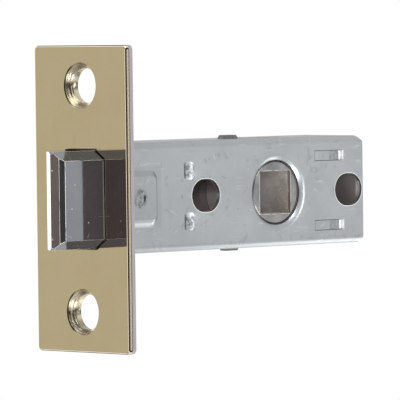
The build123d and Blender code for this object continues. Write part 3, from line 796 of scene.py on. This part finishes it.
# %% Oil inside and the finished case
OIL_BROWN, INSIDE_BACK_TONE, DEEPER = (0.52, 0.455, 0.46), (0.26, 0.23, 0.225), (30 * MM, 52 * MM)
INNER_X, INNER_Z, OIL_STOP, OIL_CLEAR = 6.56 * MM, 9.46 * MM, 0.4 * MM, 0.3 * MM
SHEARED_END, SHEARED_PALE = (60.8 * MM, 61.7 * MM, TONGUE_LOW, TONGUE_HIGH), (0.85, 0.86, 0.87)
FILM_MATT, RIDGE_HEIGHT = 0.85, 6.0
case_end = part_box("case_channel")[1][1]
past_sides = beyond(tree, xyz["X"], INNER_X, RIM_SOFT)
past_walls = beyond(tree, xyz["Z"], INNER_Z, RIM_SOFT)
past_end = ramp(tree, xyz["Y"], case_end - OIL_STOP, case_end - OIL_CLEAR)
inside_case = minus(tree, 1.0, most(tree, past_end, past_sides, past_walls))
# The inside's brown gets darker towards the back.
oil = blend(tree, ramp(tree, xyz["Y"], *DEEPER), OIL_BROWN, INSIDE_BACK_TONE)
colour = paint(tree, colour, inside_case, oil)
sheared_end = side_patch(tree, xyz, SHEARED_END, soft=0.15 * MM)
tree.links.new(paint(tree, colour, sheared_end, SHEARED_PALE), shader.inputs["Base Color"])
filmed = times(tree, most(tree, inside_case, sheared_end), FILM_MATT)
tree.links.new(minus(tree, 1.0, filmed), shader.inputs["Metallic"])
ridges = times(tree, torn, pressed, RIDGE_HEIGHT)
bump(tree, shader, plus(tree, relief, ridges), ZINC_BUMP, ZINC_RELIEF)
print("finish:", zinc.name)

# %% [markdown]
# ## Back plate and small inner pieces
# The back plate has the same coat on its faces, but its sheared edges are a duller, brownish grey,
# with a dark line where it meets the brass. The stop plate and the pins have the plain coat.

# %% Zinc on the back plate and the inner pieces
SHEARED_GREY, JOINT_DARK = (0.375, 0.343, 0.355), (0.10, 0.085, 0.085)
LINE_FAINT, LINE_FULL = 0.10 * MM, 0.05 * MM
plate_zinc, tree, shader, place, xyz, colour, relief = zinc_finish("zinc_back_plate")
joint_line = ramp(tree, xyz["Y"], plates_meet + LINE_FAINT, plates_meet + LINE_FULL)
rim_tone = blend(tree, joint_line, SHEARED_GREY, JOINT_DARK)
colour = paint(tree, colour, near_rim(tree, xyz, EDGE_INSET), rim_tone)
tree.links.new(colour, shader.inputs["Base Color"])
bump(tree, shader, relief, ZINC_BUMP, ZINC_RELIEF)

plain_zinc, tree, shader, place, xyz, colour, relief = zinc_finish("zinc_inner_pieces")
tree.links.new(colour, shader.inputs["Base Color"])
bump(tree, shader, relief, ZINC_BUMP, ZINC_RELIEF)
print("finishes:", plate_zinc.name, plain_zinc.name)

# %% [markdown]
# ## Polished bolt
# The bolt is a zinc casting under dark, bright nickel. It is almost a mirror, so what it shows is
# mostly the room. Faint hairlines and a little dust break it up. Its edges are painted pale and its
# bevel bright, each partly wear and partly a painted highlight. The two attributes on its faces say
# where.

# %% Nickel
NICKEL_LIGHT, NICKEL_DARK = (0.25, 0.256, 0.274), (0.225, 0.23, 0.245)
BEVEL_WEAR_AND_HIGHLIGHT, MARK_GREY, EDGE_WEAR_AND_HIGHLIGHT = (0.62, 0.62, 0.62), (0.55, 0.55, 0.55), (0.88, 0.88, 0.87)
NICKEL_METAL, WEAR_AND_HIGHLIGHT_METAL, WEAR_AND_HIGHLIGHT_PATCHES = 0.93, 0.5, (0.25, 0.5)
NICKEL_GLOSS, MARK_DULL, WEAR_AND_HIGHLIGHT_DULL = 0.08, 0.3, 0.35

nickel, tree, shader, place, xyz = new_finish("bolt_nickel", NICKEL_METAL, NICKEL_GLOSS)
tone = use_group(tree, mottle, Vector=place, Light=NICKEL_LIGHT, Dark=NICKEL_DARK)
fine_nicks = use_group(tree, nicks, Vector=place, Scale=283.0, Share=0.3, Width=0.008)
dust = use_group(tree, pits, Vector=place, Scale=1000.0, Share=0.2, Size=0.17)
marks = most(tree, fine_nicks["Mask"], dust["Mask"])
# Edges and bevel are painted pale: partly wear, partly a painted highlight.
patchy = ramp(tree, noise(tree, place, scale=500, detail=2.0), *WEAR_AND_HIGHLIGHT_PATCHES)
worn_and_lit = times(tree, face_number(tree, "edge_wear_and_highlight"), patchy)
colour = paint(tree, tone["Color"], face_number(tree, "strike_rub_and_highlight"), BEVEL_WEAR_AND_HIGHLIGHT)
colour = paint(tree, colour, marks, MARK_GREY)
tree.links.new(paint(tree, colour, worn_and_lit, EDGE_WEAR_AND_HIGHLIGHT), shader.inputs["Base Color"])
tree.links.new(minus(tree, NICKEL_METAL, times(tree, worn_and_lit, WEAR_AND_HIGHLIGHT_METAL)), shader.inputs["Metallic"])
hairs = use_group(tree, scuffs, Vector=place, Amount=0.5)
dull = plus(
    tree,
    times(tree, hairs["Mask"], HAIR_DULL), times(tree, marks, MARK_DULL), times(tree, worn_and_lit, WEAR_AND_HIGHLIGHT_DULL),
    NICKEL_GLOSS,
)
tree.links.new(dull, shader.inputs["Roughness"])
bump(tree, shader, hairs["Height"], strength=0.006, depth=0.02 * MM)
print("finish:", nickel.name)

# %% [markdown]
# ## Follower
# The follower is cast and barrel plated. Grease from the factory has browned the walls of the square
# hole and left golden specks there, so one mask follows the hole's four walls; deeper down, the walls
# get painted shade. A pale burr with a painted highlight runs round the hole, and a painted shadow
# marks the gap at the hub's rim. Inside the case the barrel is as matt as the case's oil, with painted
# shade where it lies nearer the plate and painted light farther back.

# %% Cast hub and its barrel
CAST_LIGHT, CAST_DARK = (0.295, 0.29, 0.29), (0.185, 0.185, 0.19)
CAST_GRAIN = (3, 3, 3)
BARREL_SHADE, BARREL_PAINTED_LIGHT = (0.28, 0.25, 0.26), (0.98, 0.88, 0.89)
BARREL_X, BARREL_Y = (6.2 * MM, 5.8 * MM), (36.8 * MM, 37.4 * MM)

cast, tree, shader, place, xyz = new_finish("follower_cast", roughness=0.36)
finer = stretched(tree, place, CAST_GRAIN)
tone = use_group(tree, mottle, Vector=finer, Light=CAST_LIGHT, Dark=CAST_DARK)
from_centre = size_of(tree, xyz["X"])
within = ramp(tree, from_centre, *BARREL_X)
# Inside the case the barrel is painted: painted shade nearer the plate, painted light farther back.
barrel_light_and_shade = blend(tree, ramp(tree, xyz["Y"], *BARREL_Y), BARREL_SHADE, BARREL_PAINTED_LIGHT)
colour = paint(tree, tone["Color"], within, barrel_light_and_shade)
tree.links.new(minus(tree, 1.0, times(tree, within, FILM_MATT)), shader.inputs["Metallic"])
print("begun:", cast.name)

# %% Pale burr with a painted highlight round the square hole, and painted shade in the gap at the hub's rim
BURR_AND_HIGHLIGHT_PALE, BURR_EDGE, BURR_PATCHES = (0.66, 0.65, 0.63), (4.23 * MM, 4.15 * MM), (0.38, 0.5)
RIM_GAP_RING, RIM_GAP_FACE = (5.96 * MM, 6.01 * MM), (6.1 * MM, 6.4 * MM)
along_hub = minus(tree, xyz["Y"], hub_y)
from_square = most(tree, size_of(tree, along_hub), size_of(tree, xyz["Z"]))
ragged = ramp(tree, noise(tree, place, scale=900, detail=2.0), *BURR_PATCHES)
# A pale burr round the hole, partly a painted highlight on its edge.
burr_and_highlight = times(tree, ramp(tree, from_square, *BURR_EDGE), ragged)
colour = paint(tree, colour, burr_and_highlight, BURR_AND_HIGHLIGHT_PALE, strength=0.7)
from_axis = distance(tree, along_hub, xyz["Z"])
# Painted shade in the gap at the hub's rim.
rim_gap_shade = times(tree, ramp(tree, from_axis, *RIM_GAP_RING), ramp(tree, from_centre, *RIM_GAP_FACE))
colour = paint(tree, colour, rim_gap_shade, GAP_SHADE)
print("burr and grease added to", cast.name)

# %% Walls of the square hole
FILM_BROWN, FILM_PALE, HOLE_DEPTH_SHADE = (0.335, 0.30, 0.275), (0.47, 0.45, 0.43), (0.17, 0.145, 0.14)
GOLD, GOLD_FLECKS, GOLD_REACH = (0.74, 0.66, 0.48), (0.60, 0.66), (-2 * MM, 5 * MM)
SQUARE_HALF, FAR_DOWN = 4.08 * MM, (4 * MM, -4 * MM)
off_y = beyond(tree, along_hub, SQUARE_HALF, RIM_SOFT)
off_z = beyond(tree, xyz["Z"], SQUARE_HALF, RIM_SOFT)
in_hole = minus(tree, 1.0, most(tree, off_y, off_z))
film = ramp(tree, noise(tree, place, scale=260, detail=3.0), *SOFT_CLOUD)
film_tone = blend(tree, film, FILM_BROWN, FILM_PALE)
# Painted shade deeper down the square hole.
film_tone = paint(tree, film_tone, ramp(tree, xyz["X"], *FAR_DOWN), HOLE_DEPTH_SHADE, strength=0.6)
colour = paint(tree, colour, in_hole, film_tone)
flecks = ramp(tree, noise(tree, place, scale=1900, detail=3.0, rough=0.7), *GOLD_FLECKS)
golden = times(tree, flecks, in_hole, ramp(tree, xyz["X"], *GOLD_REACH))
tree.links.new(paint(tree, colour, golden, GOLD), shader.inputs["Base Color"])
bump(tree, shader, tone["Cloud"], strength=0.25, depth=0.05 * MM)
print("finish:", cast.name)

# %% [markdown]
# ## Tail and spring wire
# The tail is a plain stamping with a dull, dark sheared edge, and only its two humps stand out of the
# case's oil. The spring is drawn wire with a slight sheen.

# %% Dark steel and wire
STEEL_LIGHT, STEEL_DARK = (0.20, 0.205, 0.195), (0.13, 0.135, 0.13)
TAIL_OIL, TAIL_OILED = (0.17, 0.15, 0.155), (9.5 * MM, 9.0 * MM)
WIRE_LIGHT, WIRE_DARK = (0.42, 0.42, 0.43), (0.30, 0.30, 0.31)
dark_steel, tree, shader, place, xyz = new_finish("tail_steel", roughness=0.42)
tone = use_group(tree, mottle, Vector=place, Light=STEEL_LIGHT, Dark=STEEL_DARK)
oiled = ramp(tree, size_of(tree, xyz["Z"]), *TAIL_OILED)
tree.links.new(paint(tree, tone["Color"], oiled, TAIL_OIL), shader.inputs["Base Color"])
tree.links.new(minus(tree, 1.0, times(tree, oiled, FILM_MATT)), shader.inputs["Metallic"])

wire, tree, shader, place, xyz = new_finish("spring_wire", roughness=0.25)
tone = use_group(tree, mottle, Vector=place, Light=WIRE_LIGHT, Dark=WIRE_DARK)
tree.links.new(tone["Color"], shader.inputs["Base Color"])
print("finishes:", dark_steel.name, wire.name)

# %% [markdown]
# ## Dressing the pieces
# A CAD node brings a plain material of its own, and the bolt has a marker material on its bevelled
# edges. Both are cleared before the finish goes on, so that each piece has one material all over.

# %% Put each finish on its pieces
finishes = {
    face_plate: brass,
    back_plate: plate_zinc,
    case_body: zinc,
    case_lid: zinc,
    nodes["spring_stop"]: plain_zinc,
    nodes["tail_pin_upper"]: plain_zinc,
    nodes["tail_pin_lower"]: plain_zinc,
    bolt_head: nickel,
    handle_hub: cast,
    nodes["bolt_tail"]: dark_steel,
    spring: wire,
}
for piece, material in finishes.items():
    piece.data.materials.clear()
    piece.data.materials.append(material)
print("finished pieces:", len(finishes))

# %% [markdown]
# ## The white studio
# The photograph is a product shot on white. A floor and a world that are plain white to the camera
# and to mirrors give that background. To softer light both are dimmer, so the white doesn't wash the
# metal out.

# %% Floor
FLOOR_Z = -0.25
FLOOR_SIZE = 6.0
WHITE, FLOOR_PAINT = (1.0, 1.0, 1.0, 1.0), (0.9, 0.9, 0.9, 1.0)


def seen_ray(tree):
    """1 for rays that show a surface: straight from the camera, off a mirror or through glass."""
    ray = tree.nodes.new("ShaderNodeLightPath").outputs
    return most(tree, ray["Is Camera Ray"], ray["Is Glossy Ray"], ray["Is Transmission Ray"])


bpy.ops.object.select_all(action="DESELECT")
bpy.ops.mesh.primitive_plane_add(size=FLOOR_SIZE, location=(0, 0, FLOOR_Z))
floor = bpy.context.object
floor.name = "pale_floor"
floor_paint = bpy.data.materials.new("pale_floor")
floor_paint.use_nodes = True
tree = floor_paint.node_tree
tree.nodes.clear()
out = tree.nodes.new("ShaderNodeOutputMaterial")
mix = tree.nodes.new("ShaderNodeMixShader")
matt = tree.nodes.new("ShaderNodeBsdfDiffuse")
matt.inputs["Color"].default_value = FLOOR_PAINT
glow = tree.nodes.new("ShaderNodeEmission")
glow.inputs["Color"].default_value = WHITE
tree.links.new(seen_ray(tree), mix.inputs["Fac"])
tree.links.new(matt.outputs["BSDF"], mix.inputs[1])
tree.links.new(glow.outputs["Emission"], mix.inputs[2])
tree.links.new(mix.outputs["Shader"], out.inputs["Surface"])
floor.data.materials.append(floor_paint)
print("floor %.2f m below the latch" % -FLOOR_Z)

# %% World
FILL_STRENGTH, WHITE_STRENGTH = 0.6, 1.0
world = bpy.data.worlds.new("white_studio")
bpy.context.scene.world = world
world.use_nodes = True
tree = world.node_tree
tree.nodes.clear()
out = tree.nodes.new("ShaderNodeOutputWorld")
mix = tree.nodes.new("ShaderNodeMixShader")
tree.links.new(seen_ray(tree), mix.inputs["Fac"])
for entry, strength in ((1, FILL_STRENGTH), (2, WHITE_STRENGTH)):
    sky = tree.nodes.new("ShaderNodeBackground")
    sky.inputs["Color"].default_value = WHITE
    sky.inputs["Strength"].default_value = strength
    tree.links.new(sky.outputs["Background"], mix.inputs[entry])
tree.links.new(mix.outputs["Shader"], out.inputs["Surface"])
print("world:", world.name)

# %% [markdown]
# ## Panels for the reflections
# Metal shows its surroundings, and in the photograph there is a dark room behind the camera. Curved
# screens stand for it. They are hidden from the camera, give no light and cast no shadow, so only
# reflections show them. The plate mirrors the bolt, which mirrors the room again: that second
# reflection would come out too brown, so some screens show it a bluer shade.

# %% Paint for the panels
SECOND_REFLECTION = 1.5


def reflected_only(panel, shade, second_shade=None):
    """Gives a panel of the stage an even shade that only reflections show."""
    panel_paint = bpy.data.materials.new(panel.name)
    panel_paint.use_nodes = True
    tree = panel_paint.node_tree
    tree.nodes.clear()
    out = tree.nodes.new("ShaderNodeOutputMaterial")
    dim = tree.nodes.new("ShaderNodeEmission")
    dim.inputs["Color"].default_value = (*shade, 1.0)
    if second_shade:
        ray = tree.nodes.new("ShaderNodeLightPath").outputs
        again = maths(tree, "GREATER_THAN", ray["Ray Depth"], SECOND_REFLECTION)
        tree.links.new(blend(tree, again, shade, second_shade), dim.inputs["Color"])
    tree.links.new(dim.outputs["Emission"], out.inputs["Surface"])
    panel.data.materials.append(panel_paint)
    panel.visible_camera = False
    panel.visible_diffuse = False
    panel.visible_shadow = False


print("a second shade shows after ray depth", SECOND_REFLECTION)

# %% Curved screens
SCREEN_R = 1.3
SCREEN_STEPS = 24
START_SIZE = 0.1
SCREENS = (
    # name, first and last direction in degrees, bottom and top in metres, shade, second shade
    ("brown_room", -30, -8, -0.24, 0.7, (0.48, 0.36, 0.31), None),
    ("upper_room", -30, 12, 0.7, 2.2, (0.75, 0.75, 0.76), (0.66, 0.75, 0.98)),
    ("dark_room", 12, 62, -0.24, 2.2, (0.07, 0.06, 0.055), (0.37, 0.335, 0.55)),
    ("back_flag", 200, 228, 0.1, 0.8, (0.6, 0.6, 0.61), None),
)


def curved_screen(name, first, last, low, high, shade, second_shade):
    """A screen between two directions round the latch: a point drawn up, then spun."""
    bpy.ops.object.select_all(action="DESELECT")
    angle = math.radians(first)
    bpy.ops.mesh.primitive_plane_add(size=START_SIZE, location=(0, 0, 0))
    screen = bpy.context.object
    screen.name = name
    bpy.ops.object.mode_set(mode="EDIT")
    bpy.ops.mesh.select_all(action="SELECT")
    bpy.ops.mesh.merge(type="CENTER")
    bpy.ops.transform.translate(value=(SCREEN_R * math.sin(angle), -SCREEN_R * math.cos(angle), low))
    bpy.ops.mesh.extrude_region_move(TRANSFORM_OT_translate={"value": (0, 0, high - low)})
    bpy.ops.mesh.select_all(action="SELECT")
    sweep = math.radians(first - last)
    bpy.ops.mesh.spin(steps=SCREEN_STEPS, angle=sweep, center=(0, 0, 0), axis=(0, 0, 1))
    bpy.ops.object.mode_set(mode="OBJECT")
    reflected_only(screen, shade, second_shade)
    print(name, len(screen.data.polygons), "panels")


for screen_row in SCREENS:
    curved_screen(*screen_row)

# %% Dark table in front of the latch
TABLE_SIZE = 0.4
TABLE_PLACE = (0, -0.3, FLOOR_Z + 0.005)
TABLE_SHADE, TABLE_SECOND = (0.50, 0.48, 0.48), (0.49, 0.50, 0.77)
bpy.ops.object.select_all(action="DESELECT")
bpy.ops.mesh.primitive_plane_add(size=TABLE_SIZE, location=TABLE_PLACE)
table = bpy.context.object
table.name = "dark_table"
reflected_only(table, TABLE_SHADE, TABLE_SECOND)
print(table.name, "%.1f m wide" % TABLE_SIZE)

# %% [markdown]
# ## Lamps
# Soft square lamps stand round the latch, each aimed at the case. Their size sets how broad a
# highlight is, and their power how bright. They are weak, because the white world does most of the
# work. The lamp that lights the slots is left out of reflections, where it would be a hard white spot.

# %% Place the lamps
AIM = Vector((0, 0.03, 0))
LAMPS = (
    # name, direction in degrees, height, distance and size in metres, power in watts
    ("left_softbox", -104, 0.15, 1.0, 0.6, 1.0),
    ("right_softbox", 107, 0.1, 1.2, 0.5, 2.6),
    ("edge_strip", 1, 0.04, 1.2, 0.3, 0.2),
    ("slot_fill", 46, 0.19, 1.2, 0.1, 1.8),
    ("low_softbox", 180, -0.22, 0.30, 0.25, 0.4),
    ("low_right", 82, -0.23, 0.20, 0.2, 0.8),
    ("high_right", 82, 0.8, 0.6, 0.4, 2.8),
    ("top_softbox", 20, 1.2, 0.4, 0.8, 3.0),
)
lamps = {}
for name, direction, height, away, size, power in LAMPS:
    lamp_data = bpy.data.lights.new(name, "AREA")
    lamp_data.size = size
    lamp_data.energy = power
    lamp = bpy.data.objects.new(name, lamp_data)
    bpy.context.scene.collection.objects.link(lamp)
    angle = math.radians(direction)
    lamp.location = (away * math.sin(angle), -away * math.cos(angle), height)
    lamp.rotation_euler = (AIM - lamp.location).to_track_quat("-Z", "Y").to_euler()
    lamps[name] = lamp
lamps["slot_fill"].visible_glossy = False
print("lamps:", ", ".join(lamps))
